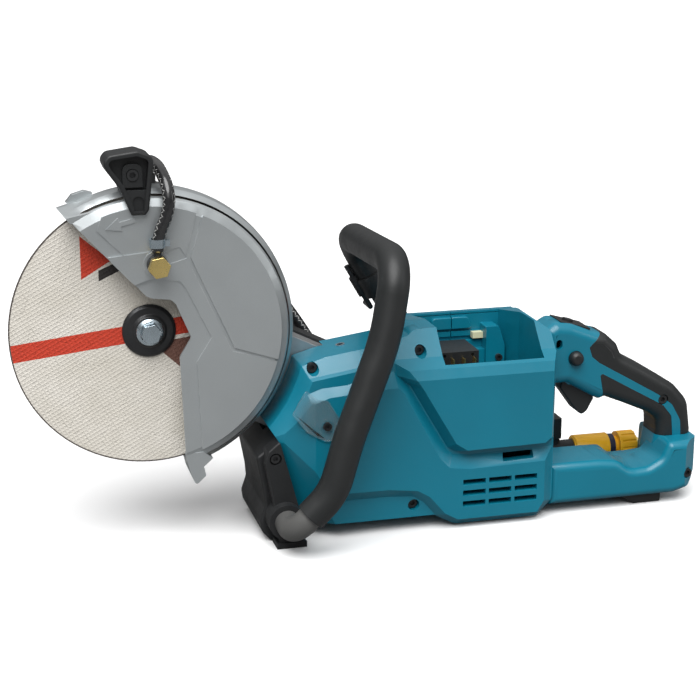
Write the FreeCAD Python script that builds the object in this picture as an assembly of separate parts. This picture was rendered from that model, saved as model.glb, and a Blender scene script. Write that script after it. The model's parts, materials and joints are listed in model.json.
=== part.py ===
import FreeCAD, Part
import math
import os
from FreeCAD import Vector

# Rescue saw with a 230 mm cutting disc: guard, drive arm, hollow body with a battery bay, front loop
# handle and rear handle frame.  +X is the rear, +Y the side away from the disc, +Z up, and the
# ground is Z = 0.  Side outlines are (x, z) measured from the spindle; y is always the model's own.

# ---- driving dimensions (mm) ----
DISC_R = 115.0
DISC_T = 2.0
DISC_BORE_R = 11.115
SPINDLE_X = -192.0
SPINDLE_H = 190.0
DISC_Y = -8.0
GROUND = -SPINDLE_H
WIDTH_MIDDLE = 7.8        # y of the middle of the overall width, which becomes Y = 0 in the written parts
MID_Y = 7.0               # joint plane of the two body halves and of the rear handle halves
BODY_NEAR = -45.0
CORE_NEAR = -38.0         # near wall that the raised plate and panel stand on
BODY_FAR = 61.0
BAY_NEAR = -50.0
BAY_FAR = 71.0
BAY_FRONT = 248.5
BAY_REAR = 339.0
BAY_WALL = 58.0           # inside of the bay's far wall
BAY_FLOOR = -117.0
WALL = 3.5
FIT = 0.3                 # gap between parts that turn or slide past each other
GUARD_R = 122.0
GUARD_NEAR = -30.0
GUARD_FAR = 12.0
LEVER_NEAR = -36.0
NECK_R = 24.0
SPINDLE_R = 8.5
ARM_NEAR = 12.3
ARM_FAR = 36.0
COVER_FAR = 60.0
MOTOR = (185.0, -95.0)
MOTOR_R = 36.0
MOTOR_BEARING_NEAR = (-41.2, -36.4)
PULLEY_R = 36.0
PINION_R = 14.4
BELT_Y = (40.0, 54.0)
BELT_T = 2.6
TUBE_R = 11.0
GRIP_R = 13.5
HOSE_R = 5.2
HANDLE_SEAT = (107.0, -166.5)
SCREW_HEAD_R = 4.2
TRIGGER_PIVOT = (379.0, -72.0)
HANDLE_NEAR = -13.0
HANDLE_FAR = 27.0
HANDLE_EDGE = 9.5         # rounding of the loop's four long edges
RUBBER_T = 4.4            # thickness of the rubber over the handle's plastic core
BEAM_NEAR = -35.0
BEAM_FAR = 38.0
LOCK_R = 23.0             # radius of the pulley's ring of spindle lock holes
NOZZLE = (5.0, 61.0)      # water bolts in the two guard halves
FAR_SEAT = GUARD_FAR + 3.0
COUPLER_Y = 52.0
COUPLER_Z = -160.0
NIPPLE_R = 4.5
NIPPLE_LENGTH = 9.0


# ---- geometry helpers ----
def at(x, y, z):
    """A point given from the spindle in x and z."""
    return Vector(SPINDLE_X + x, y, SPINDLE_H + z)


def inset(points, gap):
    """The outline moved inwards by gap (outwards when gap is negative)."""
    turn = sum(a[0] * b[1] - b[0] * a[1] for a, b in zip(points, points[1:] + points[:1]))
    side = 1.0 if turn > 0 else -1.0
    count = len(points)
    moved = []
    for i in range(count):
        here = Vector(points[i][0], points[i][1], 0)
        back = here - Vector(points[i - 1][0], points[i - 1][1], 0)
        ahead = Vector(points[(i + 1) % count][0], points[(i + 1) % count][1], 0) - here
        back.normalize()
        ahead.normalize()
        normal = Vector(-back.y - ahead.y, back.x + ahead.x, 0) * side
        normal.normalize()
        stretch = gap / max(0.3, normal.dot(Vector(-back.y, back.x, 0) * side))
        spot = here + normal * stretch
        convex = (back.x * ahead.y - back.y * ahead.x) * side > 0
        radius = points[i][2] if len(points[i]) > 2 else 0.0
        radius = max(0.0, radius - gap if convex else radius + gap) if radius else 0.0
        moved.append((spot.x, spot.y, radius))
    return moved


def wire(points, place):
    """Closed outline of straight runs with the given corner radii; place puts (u, v) into space."""
    count = len(points)
    spots = []
    for i in range(count):
        corner = Vector(points[i][0], points[i][1], 0)
        back = Vector(points[i - 1][0], points[i - 1][1], 0) - corner
        ahead = Vector(points[(i + 1) % count][0], points[(i + 1) % count][1], 0) - corner
        radius = points[i][2] if len(points[i]) > 2 else 0.0
        half = back.getAngle(ahead) / 2.0
        if radius < 0.01 or half > 1.56:
            spots.append((corner, corner, corner))
            continue
        reach = min(radius / math.tan(half), 0.49 * back.Length, 0.49 * ahead.Length)
        radius = reach * math.tan(half)
        back.normalize()
        ahead.normalize()
        middle = back + ahead
        middle.normalize()
        belly = corner + middle * (radius / math.sin(half) - radius)
        spots.append((corner + back * reach, belly, corner + ahead * reach))
    edges = []
    for i in range(count):
        start, belly, end = [place(p.x, p.y) for p in spots[i]]
        following = place(spots[(i + 1) % count][0].x, spots[(i + 1) % count][0].y)
        if (start - end).Length > 1e-6:
            edges.append(Part.Arc(start, belly, end).toShape())
        if (end - following).Length > 1e-6:
            edges.append(Part.LineSegment(end, following).toShape())
    return Part.Wire(edges)


def slab(points, near, far):
    """Side outline given thickness along y."""
    face = Part.Face(wire(points, lambda u, v: at(u, near, v)))
    return face.extrude(Vector(0, far - near, 0))


def raised(foot, face, base, top):
    """Plate with sloping sides between its foot and its face."""
    ends = []
    for points, y in ((foot, base), (face, top)):
        corners = [at(x, y, z) for x, z in points]
        ends.append(Part.makePolygon(corners + corners[:1]))
    return Part.makeLoft(ends, True, True)


def side_edges(shape, *sides):
    """Edges that lie in one of the planes y = side."""
    return [e for e in shape.Edges if any(abs(e.BoundBox.YMin - y) < 0.001 and abs(e.BoundBox.YMax - y) < 0.001
                                          for y in sides)]


def soft_slab(points, near, far, edge):
    """A slab whose two side faces have rounded edges."""
    shape = slab(points, near, far)
    return shape.makeFillet(edge, side_edges(shape, near, far))


def plan(points, low, high):
    """Outline seen from above, given height."""
    face = Part.Face(wire(points, lambda u, v: at(u, v, low)))
    return face.extrude(Vector(0, 0, high - low))


def section(points, front, rear, rise=0.0):
    """Cross-section (y, z) run along x, climbing by rise on the way."""
    face = Part.Face(wire(points, lambda u, v: at(front, u, v)))
    return face.extrude(Vector(rear - front, 0, rise))


def block(front, rear, near, far, low, high):
    return Part.makeBox(rear - front, far - near, high - low, at(front, near, low))


def rod(x, z, near, far, radius):
    """Round bar along y."""
    return Part.makeCylinder(radius, far - near, at(x, near, z), Vector(0, 1, 0))


def ring(x, z, near, far, outer, inner):
    return rod(x, z, near, far, outer).cut(rod(x, z, near - 1, far + 1, inner))


def bar(start, direction, length, radius):
    """Round bar from a point in any direction."""
    return Part.makeCylinder(radius, length, start, direction)


def hexagon(x, z, near, far, across):
    corner = across / math.sqrt(3.0)
    turns = [math.radians(60 * i + 10) for i in range(6)]
    return slab([(x + corner * math.cos(t), z + corner * math.sin(t)) for t in turns], near, far)


def turned(profile, x=0.0, z=0.0):
    """Profile of (radius, y) points spun about an axis along y."""
    loop = [at(x + r, y, z) for r, y in profile]
    face = Part.Face(Part.makePolygon(loop + loop[:1]))
    return face.revolve(at(x, 0, z), Vector(0, 1, 0), 360)


def join(shapes):
    shapes = list(shapes)
    return shapes[0].fuse(shapes[1:]) if len(shapes) > 1 else shapes[0]


def without_slivers(shape):
    """The shape's one real solid, without the crumbs that a cut can leave."""
    return max(shape.Solids, key=lambda solid: solid.Volume)


def mirrored(shape, y):
    return shape.mirror(Vector(0, y, 0), Vector(0, 1, 0))


def route(points, radii):
    """Straight runs joined by tangent arcs, one radius for each inner point."""
    edges = []
    last = points[0]
    for i, radius in enumerate(radii, 1):
        corner = points[i]
        back = points[i - 1] - corner
        ahead = points[i + 1] - corner
        half = back.getAngle(ahead) / 2.0
        reach = min(radius / math.tan(half), 0.48 * back.Length, 0.48 * ahead.Length)
        back.normalize()
        ahead.normalize()
        bend = reach * math.tan(half)
        middle = back + ahead
        middle.normalize()
        start = corner + back * reach
        edges.append(Part.LineSegment(last, start).toShape())
        belly = corner + middle * (bend / math.sin(half) - bend)
        last = corner + ahead * reach
        edges.append(Part.Arc(start, belly, last).toShape())
    edges.append(Part.LineSegment(last, points[-1]).toShape())
    return Part.Wire(edges)


def pipe(path, radius):
    """Round bar along a route."""
    start = path.Edges[0]
    circle = Part.Wire(Part.Circle(start.valueAt(start.FirstParameter),
                                   start.tangentAt(start.FirstParameter), radius).toShape())
    return path.makePipeShell([circle], True, False)


def widest_radii(points):
    """The largest tangent radius that the runs on each side of a corner leave room for."""
    radii = []
    for before, corner, after in zip(points, points[1:], points[2:]):
        back = before - corner
        ahead = after - corner
        radii.append(0.45 * min(back.Length, ahead.Length) * math.tan(back.getAngle(ahead) / 2.0))
    return radii


def hose(name, points):
    """Water hose along its route, bent as gently as the route allows."""
    radii = widest_radii(points)
    path = route(points, radii)
    print(name, "radii", [round(r, 1) for r in radii], "length", round(path.Length, 1))
    return pipe(path, HOSE_R)


def socket_screw(x, z, seat, depth, head=SCREW_HEAD_R):
    """Cap screw driven along +y with its head's underside at y = seat."""
    cap = rod(x, z, seat - head * 0.9, seat, head).cut(hexagon(x, z, seat - head, seat - head * 0.3, head))
    return cap.fuse(rod(x, z, seat, seat + depth, head * 0.5))


# ---- cutting disc and spindle ----
def make_disc_group(parts):
    face = DISC_Y - DISC_T / 2
    back = DISC_Y + DISC_T / 2
    parts["cutting_disc"] = ring(0, 0, face, back, DISC_R, DISC_BORE_R)
    flange_r = 22.5
    flange_back = back + 6
    pilot = rod(0, 0, face + 0.3, back, DISC_BORE_R - 0.06)
    parts["inner_flange"] = rod(0, 0, back, flange_back, flange_r).fuse(pilot).cut(rod(0, 0, -30, 30, SPINDLE_R))
    dish = [(4.3, face - 6), (12.5, face - 6), (14.5, face - 4), (20, face - 3.4),
            (flange_r, face - 1.5), (flange_r, face), (14, face), (13, face - 1), (4.3, face - 1)]
    parts["outer_flange"] = turned(dish)
    bolt_seat = face - 6
    head = hexagon(0, 0, bolt_seat - 9.5, bolt_seat - 2.2, 15)
    washer = turned([(0, bolt_seat - 2.4), (9, bolt_seat - 2.4), (11.5, bolt_seat - 1.2), (11.5, bolt_seat),
                     (0, bolt_seat)])
    shank = rod(0, 0, bolt_seat, back + 18, 4.0)
    parts["disc_bolt"] = head.fuse([washer, shank])
    spindle = rod(0, 0, face + 0.4, BELT_Y[1] + 3, SPINDLE_R)
    parts["spindle"] = spindle.cut(rod(0, 0, -30, back + 20, 4.0))
    wheel = turned([(SPINDLE_R, BELT_Y[0] - 2), (PULLEY_R + 1.6, BELT_Y[0] - 2), (PULLEY_R + 1.6, BELT_Y[0] - 0.5),
                    (PULLEY_R, BELT_Y[0] - 0.5), (PULLEY_R, BELT_Y[1] + 0.5), (PULLEY_R + 1.6, BELT_Y[1] + 0.5),
                    (PULLEY_R + 1.6, BELT_Y[1] + 2), (32, BELT_Y[1] + 2), (32, BELT_Y[1] - 2),
                    (14, BELT_Y[1] - 2), (14, BELT_Y[1] + 2), (SPINDLE_R, BELT_Y[1] + 2)])
    holes = []
    for i in range(12):
        turn = math.radians(30 * i + 90)
        holes.append(rod(LOCK_R * math.cos(turn), LOCK_R * math.sin(turn), BELT_Y[0] - 5, BELT_Y[1] + 5, 3.2))
    parts["spindle_pulley"] = wheel.cut(holes)


def make_bearings(parts):
    bearings = []
    for near in (13.0, 25.0):
        races = ring(0, 0, near, near + 11, 20, 16.5).fuse(ring(0, 0, near, near + 11, 12.5, SPINDLE_R + 0.03))
        bearings.append(races.fuse(ring(0, 0, near + 1, near + 10, 16.6, 12.4)))
    bearings.append(ring(*MOTOR, *MOTOR_BEARING_NEAR, 11, 4.03))
    bearings.append(ring(*MOTOR, 20, 27, 11, 4.03))
    parts["ball_bearings"] = Part.makeCompound(bearings)


# ---- drive arm, belt and motor ----
def arm_outline(front_r, rear_r):
    """Belt-shaped solid outline round the spindle and the motor shaft."""
    x, z = MOTOR
    length = math.hypot(x, z)
    lean = math.atan2(z, x)
    swing = math.acos((front_r - rear_r) / length)
    ends = []
    for centre, radius in (((0.0, 0.0), front_r), ((x, z), rear_r)):
        for side in (1, -1):
            turn = lean + side * swing
            ends.append((centre[0] + radius * math.cos(turn), centre[1] + radius * math.sin(turn)))
    return ends, lean


def arm_shape(front_r, rear_r, near, far):
    (top_front, low_front, top_rear, low_rear), lean = arm_outline(front_r, rear_r)
    x, z = MOTOR
    nose = (-front_r * math.cos(lean), -front_r * math.sin(lean))
    tail = (x + rear_r * math.cos(lean), z + rear_r * math.sin(lean))

    def spot(p):
        return at(p[0], near, p[1])

    edges = [Part.LineSegment(spot(top_front), spot(top_rear)).toShape(),
             Part.Arc(spot(top_rear), spot(tail), spot(low_rear)).toShape(),
             Part.LineSegment(spot(low_rear), spot(low_front)).toShape(),
             Part.Arc(spot(low_front), spot(nose), spot(top_front)).toShape()]
    return Part.Face(Part.Wire(edges)).extrude(Vector(0, far - near, 0))


def make_drive(parts):
    x, z = MOTOR
    arm = arm_shape(40, 42, ARM_NEAR, ARM_FAR)
    neck = rod(0, 0, 8.7, ARM_NEAR, NECK_R)
    hollow = arm_shape(34, 36, ARM_NEAR + 5, ARM_FAR + 1)
    boss = rod(0, 0, ARM_NEAR, ARM_FAR, 24)
    motor_boss = rod(x, z, ARM_NEAR, ARM_NEAR + 15, 15)
    ribs = join([block(70 + 40 * i, 74 + 40 * i, ARM_NEAR + 4, ARM_FAR - 1, -95 - 20 * i, 20 - 20 * i)
                 for i in range(2)]).common(arm_shape(36, 38, ARM_NEAR, ARM_FAR))
    arm = arm.cut(hollow).fuse([neck, boss, motor_boss, ribs])
    arm = arm.cut([rod(0, 0, 0, 13, 9.5), rod(0, 0, 13, 36.1, 20), rod(x, z, 0, 20, 6), rod(x, z, 20, 30, 11)])
    parts["drive_arm"] = arm
    cover = arm_shape(42, 44, ARM_FAR, COVER_FAR)
    room = arm_shape(39.5, 41.5, ARM_FAR - 1, COVER_FAR - 2.5)
    lock_hole = rod(0, LOCK_R, 50, 70, 3.0 + FIT)
    parts["belt_cover"] = cover.cut([room, lock_hole])
    band = BELT_T + FIT
    belt = arm_shape(PULLEY_R + band, PINION_R + band, *BELT_Y)
    parts["drive_belt"] = belt.cut(arm_shape(PULLEY_R + FIT, PINION_R + FIT, BELT_Y[0] - 1, BELT_Y[1] + 1))
    parts["guard_retaining_ring"] = ring(0, 0, 5.6, 8.7, 28, 12)
    make_motor(parts, x, z)


def make_motor(parts, x, z):
    stator = ring(x, z, -27, 2, MOTOR_R, 24)
    coils = [rod(x + 29 * math.cos(math.radians(60 * i)), z + 29 * math.sin(math.radians(60 * i)), -30, 5, 4)
             for i in range(6)]
    parts["motor_stator"] = stator.fuse(coils)
    shaft = rod(x, z, -41, BELT_Y[1] + 2, 4.0)
    parts["motor_rotor"] = rod(x, z, -26, 1, 23.4).fuse(shaft)
    parts["motor_pulley"] = ring(x, z, BELT_Y[0] - 1, BELT_Y[1] + 1, PINION_R, 4.0)
    vanes = []
    for i in range(12):
        vane = block(x + 9, x + 31, -35.6, -32, z - 0.8, z + 0.8)
        vane.rotate(at(x, 0, z), Vector(0, 1, 0), 30 * i)
        vanes.append(vane)
    hub = ring(x, z, -36, -31.2, 9.5, 4.0).fuse(ring(x, z, -32, -31.2, 32, 9))
    parts["cooling_fan"] = hub.fuse(vanes)


# ---- guard ----
GUARD_EDGE = [(-74, 111), (-18, 49), (-11, 42, 6), (-4, 34, 4), (1, 32), (16, 30, 5), (20, 26), (32, -3, 4),
              (22, -19, 6), (25, -105), (29, -123), (33, -133), (60, -160), (160, -160), (160, 160), (-60, 160)]


def guard_emboss(points, height):
    """Raised area of the guard's near face."""
    area = slab(points, GUARD_NEAR - height, GUARD_NEAR + 0.5)
    return area.common(rod(0, 0, GUARD_NEAR - 10, 0, 108)).common(slab(GUARD_EDGE, -60, 30))


def make_guard(parts):
    near = GUARD_NEAR
    skin = 2.4
    seam = -1.0
    shell = turned([(0, near), (106, near), (114, near + 3), (GUARD_R - 1, near + 13), (GUARD_R, DISC_Y),
                    (GUARD_R, seam), (GUARD_R - skin, seam), (GUARD_R - skin, DISC_Y),
                    (GUARD_R - 1 - skin, near + 14), (113 - skin, near + 5.2), (105.5, near + skin),
                    (0, near + skin)])
    shell = shell.common(slab(GUARD_EDGE, -60, 30))
    clear = rod(0, 0, near + 5, 20, GUARD_R - skin - 2.5)
    tip_foot = [(-71, 105.5), (-66, 100), (-50, 107), (-46, 112.8)]
    tip_face = [(-66, 100.5), (-62, 96), (-50, 101), (-42, 105.5)]
    top_lip = raised(tip_foot, tip_face, -6, near + 3).fuse(slab(tip_foot, -6, seam))
    low_lip = slab([(24.4, -104), (29, -123), (33, -133, 2), (42, -125, 2), (40, -117), (48, -110), (40, -104)],
                   near + 1, seam)
    embossed = [guard_emboss([(48, 112), (33, 65), (68, -14), (112, -29), (130, 60), (60, 130)], 1.6),
                guard_emboss([(-34, 68), (-19, 43), (4, 50), (8, 72)], 2.6),
                guard_emboss([(-60, 140), (-38, 101), (-42, 90), (-14, 62), (24, 74), (29, 66), (40, 106),
                              (40, 140)], 0.9),
                guard_emboss([(2, 49), (24, 45), (29, 38), (49, -4), (36, -24), (40, -130), (130, -60),
                              (112, -31), (66, -17), (30, 64), (8, 58)], 0.9),
                rod(5, 61, near - 4, near + 1, 11)]
    arrow = slab([(-35, 91), (-25, 100), (-24, 96.5), (-11, 99.5), (-11, 96), (-23, 93), (-22, 89.5)],
                 near - 1.9, near)
    shell = shell.fuse([top_lip, low_lip] + embossed).cut(clear).fuse(arrow)
    shell = shell.cut(rod(5, 61, -60, 0, 4))
    parts["guard_shell_near"] = shell
    back = turned([(NECK_R + 0.05, GUARD_FAR), (112, GUARD_FAR), (118, 8), (GUARD_R - 0.5, seam),
                   (GUARD_R - 0.5 - skin, seam), (116, 6), (111, GUARD_FAR - skin), (NECK_R + 0.05, GUARD_FAR - skin)])
    wall = back.common(slab(GUARD_EDGE, -60, 30)).fuse(ring(0, 0, GUARD_FAR - skin, GUARD_FAR, 36, NECK_R + 0.05))
    lug = slab([(-63, 109), (-57, 104), (-44, 111), (-41, 116), (-48, 118), (-58, 115)], seam, 6)
    wall = wall.fuse([lug, rod(*NOZZLE, GUARD_FAR - skin, FAR_SEAT, 11)])
    parts["guard_shell_far"] = wall.cut(rod(*NOZZLE, 0, 30, 4))
    make_guard_lever(parts)


def make_guard_lever(parts):
    hook = [(-36, 145, 6), (-31, 151, 6), (-8, 154, 8), (5, 149, 8), (4, 138), (0, 106, 4), (-3, 102),
            (-14, 102), (-17, 109), (-23, 124, 20), (-33, 138, 4)]
    lever = soft_slab(hook, LEVER_NEAR, -7, 2.0)
    recess = slab(inset(hook, 4), LEVER_NEAR - 1, -27).cut(block(-60, 40, -60, 0, 80, 122))
    shallow = slab(inset(hook, 4), LEVER_NEAR - 1, LEVER_NEAR + 2.2)
    pocket = slab([(-13, 117, 4), (-4, 117, 4), (-4, 105), (-12, 105)], LEVER_NEAR - 1, LEVER_NEAR + 4)
    lever = lever.cut([recess, shallow, rod(0, 0, GUARD_NEAR - 0.3, 0, GUARD_R + 0.3)])
    boss = slab([(-20, 143, 6), (-4, 143, 6), (-4, 124), (-20, 124)], -31, -26)
    lever = lever.fuse(boss).cut([pocket, rod(-12, 134, -40, -5, 2.6), rod(-12, 134, -40, -28, 5)])
    parts["guard_lever"] = lever.cut(parts["guard_shell_near"])
    parts["guard_lever_screw"] = socket_screw(-12, 134, -28, 20.5, 4.6)


def make_water_fittings(parts):
    x, z = NOZZLE
    seat = GUARD_NEAR - 4
    fittings, bolts, clamps = [], [], []
    for y, side in ((seat, -1), (FAR_SEAT, 1)):
        middle = y + side * 4.5
        eye = ring(x, z, middle - 4.5, middle + 4.5, 8.5, 4.0)
        barb = bar(at(x, middle, z + 6), Vector(0, 0, 1), 16, 3.0)
        fittings.append(eye.fuse(barb.cut(rod(x, z, -80, 80, 4.0))))
        outside = sorted((y + side * 9, y + side * 15.5))
        shank = sorted((y - side * 6, y + side * 9))
        bolts.append(hexagon(x, z, *outside, 16).fuse(rod(x, z, *shank, 4.0)))
        clamp_at = at(x, middle, z + 15)
        band = bar(clamp_at, Vector(0, 0, 1), 7, 6.4).cut(bar(clamp_at, Vector(0, 0, 1), 7, HOSE_R))
        clamps.append(band.fuse(block(x + 6, x + 10, middle - 2.5, middle + 2.5, z + 16, z + 21)))
    parts["banjo_fittings"] = Part.makeCompound(fittings)
    parts["banjo_bolts"] = Part.makeCompound(bolts)
    parts["hose_clamps"] = Part.makeCompound(clamps)
    tee_y = GUARD_FAR + 14.0
    tee = bar(at(8, tee_y, 99), Vector(0, 0, 1), 26, 6.5)
    leg = bar(at(8, tee_y, 112), Vector(0, 1, 0), 13, 6.5)
    foot = block(3, 13, GUARD_FAR, tee_y, 103, 107)
    parts["water_tee"] = tee.fuse([leg, foot])
    near_y = seat - 4.5
    near = [at(5, near_y, 72.5), at(6, near_y, 86), at(15, near_y, 104), at(16, near_y + 2, 122),
            at(12, -18, 136), at(11, 4, 137.5), at(8, tee_y - 1, 137), at(8, tee_y, 125)]
    far = [at(8, tee_y, 99), at(8, tee_y - 1, 93), at(6, FAR_SEAT + 5.5, 84), at(5, FAR_SEAT + 4.5, 72.5)]
    held = fittings + bolts + clamps + [parts["water_tee"]]
    parts["guard_hoses"] = Part.makeCompound([hose("near guard hose", near).cut(held),
                                              hose("far guard hose", far).cut(held)])


# ---- body ----
BODY_SIDE = [(126, -36, 3), (147, -30), (175, -26), (204, -22, 12), (239, -12, 8), (339, -11, 8), (352, -20, 6),
             (352, -172, 5), (337, -187, 5), (262, -187, 6), (246, -177, 4), (126, -177, 3), (120, -160),
             (104, -99, 4), (97, -88)]
ROOF = [(-50, -49.7), (-46, -41.5), (-35, -33.5), (-16, -12.6), (16, -13), (57, -19.5), (90, -23)]
# Raised near plate over the motor and the vents: its foot on the core wall, then its face.
PLATE_FOOT = [(140, -53), (163, -51.5), (187, -42), (204, -42), (218, -56.5), (253, -116.5), (258, -121),
              (273, -123), (351.5, -121.5), (351.5, -174), (338, -187), (260, -187), (243, -178), (231, -164),
              (222, -158.5), (198, -156.7), (96, -156.7), (96, -74), (108, -64)]
PLATE_FACE = [(146, -60), (166, -58.5), (198.6, -56.3), (206, -56), (212, -62), (244, -122), (253.5, -132.3),
              (272, -135), (342, -133.4), (342, -171), (336, -181), (262, -181), (249.7, -174), (235.6, -157.4),
              (224.6, -150.8), (199.2, -147.4), (100, -147), (100, -82), (112, -72)]
# Panel beside the battery bay, standing further out.
PANEL_FOOT = [(203.6, -20), (205, -46), (218.5, -57), (253, -116), (260, -120), (345, -119), (352, -115), (352, -20)]
PANEL_FACE = [(216, -20), (222, -49.5), (227, -57), (257.5, -109), (268, -116), (340, -115), (346, -110),
              (346, -20)]


def nose_cutters():
    """Flats and the turned edge that shape the front end of the near side."""
    outline = [(185.5, -59), (163.5, BODY_NEAR), (141.5, -31), (97.5, -3), (53.5, -3), (53.5, -90), (185.5, -90)]
    base = Part.Face(wire(outline, lambda u, v: at(u, v, -177)))
    leaning = base.extrude(Vector(-68, 0, 117))
    side = plan([(60, -16), (97, -32), (108, -38.5), (134, BODY_NEAR - 0.1), (134, -90), (60, -90)], -200, 0)
    turned_edge = Part.makeCone(131, 147, 20, at(0, -26, 0), Vector(0, -1, 0))
    return [leaning, side, turned_edge]


def body_blank():
    """Outside of the body before it is hollowed."""
    core = slab(BODY_SIDE, CORE_NEAR, BODY_FAR)
    core = core.makeFillet(3, side_edges(core, BODY_FAR))
    plate = raised(PLATE_FOOT, PLATE_FACE, CORE_NEAR + 0.5, BODY_NEAR)
    panel = raised(PANEL_FOOT, PANEL_FACE, CORE_NEAR + 0.5, BAY_NEAR)
    side = core.fuse([plate, panel])
    above = [(-90, -60)] + ROOF + [(90, 80), (-90, 80)]
    deck_rise = 0.15
    deck_length = 116.0
    lowered = [(y, z - deck_rise * deck_length) for y, z in above]
    cutters = [section(above, 205.99, 380), section(lowered, 206 - deck_length, 206, deck_rise * deck_length)]
    far_deck = [(BODY_FAR + 8, -100), (BODY_FAR - 4, -62), (34, -52), (22, -34), (22, 60), (90, 60)]
    cutters.append(section(far_deck, 206 - deck_length, 232, deck_rise * (deck_length + 26)))
    cutters += nose_cutters()
    cutters.append(plan([(80, 42), (100, 46), (140, BODY_FAR + 1), (140, 90), (80, 90)], -200, 0))
    cutters.append(rod(0, 0, -90, 90, 131))
    cutters.append(plan([(312, BODY_FAR + 1), (354, 40), (354, 80), (312, 80)], -200, -122))
    far_panel = soft_slab([(216, -30, 8), (350, -30, 8), (350, -122, 8), (236, -122, 10)], BODY_FAR - 4, BAY_FAR, 3)
    far_top = slab([(222, -14, 6), (342, -14, 6), (350, -22, 4), (350, -40), (222, -40)], BODY_FAR - 4, BAY_FAR - 2)
    boss = rod(232, -27, CORE_NEAR, 0, 14).cut(block(200, 260, -60, 20, -12.6, 20))
    return side.fuse([far_panel, far_top, boss]).cut(cutters)


def body_rooms():
    """Everything hollow inside the body."""
    motor_room = slab([(130, -64), (204, -56), (222, -62), (222, -143), (142, -143), (116, -96)], CORE_NEAR + WALL,
                      BODY_FAR - WALL)
    fan_room = rod(*MOTOR, BODY_NEAR + WALL, 0, 33.5)
    upper = slab([(134, -66), (134, -44), (204, -34), (222, -34), (222, -66)], -18, 36)
    lower = block(152, 250, CORE_NEAR + WALL, 50, -173, -140)
    bay_plan = [(BAY_FRONT, CORE_NEAR + WALL), (BAY_REAR, CORE_NEAR + WALL), (BAY_REAR, 20), (BAY_REAR - 6.5, BAY_WALL),
                (BAY_FRONT, BAY_WALL)]
    bay = plan(bay_plan, BAY_FLOOR, 60)
    near_bay = slab([(BAY_FRONT, -20), (BAY_FRONT, -90), (263, -111), (BAY_REAR, -111), (BAY_REAR, -20)],
                    BAY_NEAR + 7, 0)
    cell = plan([(222, CORE_NEAR + WALL), (346, CORE_NEAR + WALL), (346, 38), (310, BODY_FAR - WALL),
                 (222, BODY_FAR - WALL)], -173, BAY_FLOOR - 4)
    sump = block(264, 338, -30, 34, -183, -150)
    skirt = block(252, 336, BAY_WALL + 3.5, BAY_FAR - 3.5, -130, -26)
    return [motor_room, fan_room, upper, lower, bay, near_bay, cell, sump, skirt]


HOUSING_SCREWS = [(135, -38, -22, 30), (230, -29, -22, 34), (223, -166, -30, 52)]


def body_cutters():
    """Openings in the body's wall: vents, window, arm passage and screw pockets."""
    cutters = [arm_shape(43, 45, ARM_NEAR - 1, COVER_FAR + 20), arm_shape(60, 42, ARM_NEAR - 1, COVER_FAR + 20)
               .common(rod(0, 0, 0, 90, 133))]
    for column in range(3):
        for row in range(3):
            x = 266 + 24 * column
            z = -149.5 - 10 * row
            cutters.append(block(x, x + 21, -60, CORE_NEAR + 5, z, z + 5))
            if column < 2:
                cutters.append(block(x, x + 21, BODY_FAR - 6, 80, z, z + 5))
    cutters.append(slab([(303, -131.5, 1), (332, -130.5, 1), (332, -124, 1), (304, -124.5, 1)], -60, CORE_NEAR + 5))
    for x, z, seat, _ in HOUSING_SCREWS:
        cutters.append(rod(x, z, -80, seat, 5.2))
    return cutters


def bay_details():
    """Ribs, rails and the corner block on the inside of the bay's far wall."""
    back = BAY_WALL + 0.5
    pad = soft_slab([(267, -24, 4), (302, -24, 4), (306, -35, 2), (267, -35)], BAY_WALL - 4, back + 4, 0.8)
    rails = [block(250, 320, BAY_WALL - 2.5, back, -42, -37.5), block(250, 318, BAY_WALL - 5, back, -56, -46)]
    corner = slab([(315, -31, 1), (327, -31, 1), (333, -49), (333, BAY_FLOOR - 1), (315, BAY_FLOOR - 1)], 40, back)
    step = block(308, 316, 44, back, BAY_FLOOR - 1, -53)
    grooves = [block(285.5, 286.5, BAY_WALL - 6, BAY_WALL + 1.2, -118, -18),
               block(BAY_FRONT, 334, BAY_WALL - 1, BAY_WALL + 1.5, -22.4, -21.4)]
    return join([pad, corner, step] + rails), grooves


def make_body(parts):
    outside = body_blank()
    details, grooves = bay_details()
    blank = outside.cut(body_rooms()).cut(body_cutters())
    bosses = [details]
    screws = []
    for x, z, seat, depth in HOUSING_SCREWS:
        pillar = rod(x, z, BODY_NEAR, seat + depth, 7.5).common(outside)
        bosses.append(pillar.cut(rod(x, z, -80, seat, 5.2)))
        screws.append(socket_screw(x, z, seat, depth))
    bosses.append(ring(*MOTOR, BODY_NEAR + WALL - 0.5, MOTOR_BEARING_NEAR[1], 14, 11))
    screws.append(socket_screw(327, -60, 40, 8, 3.2))
    blank = blank.fuse(bosses)
    blank = blank.cut(screws + grooves).cut(arm_shape(43, 45, ARM_NEAR - 1, COVER_FAR + 20))
    half = Part.makeBox(900, 300, 600, Vector(-450, MID_Y - 300, -50))
    parts["body_shell_near"] = without_slivers(blank.common(half))
    parts["body_shell_far"] = without_slivers(blank.cut(half))
    parts["housing_screws"] = screws


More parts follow.
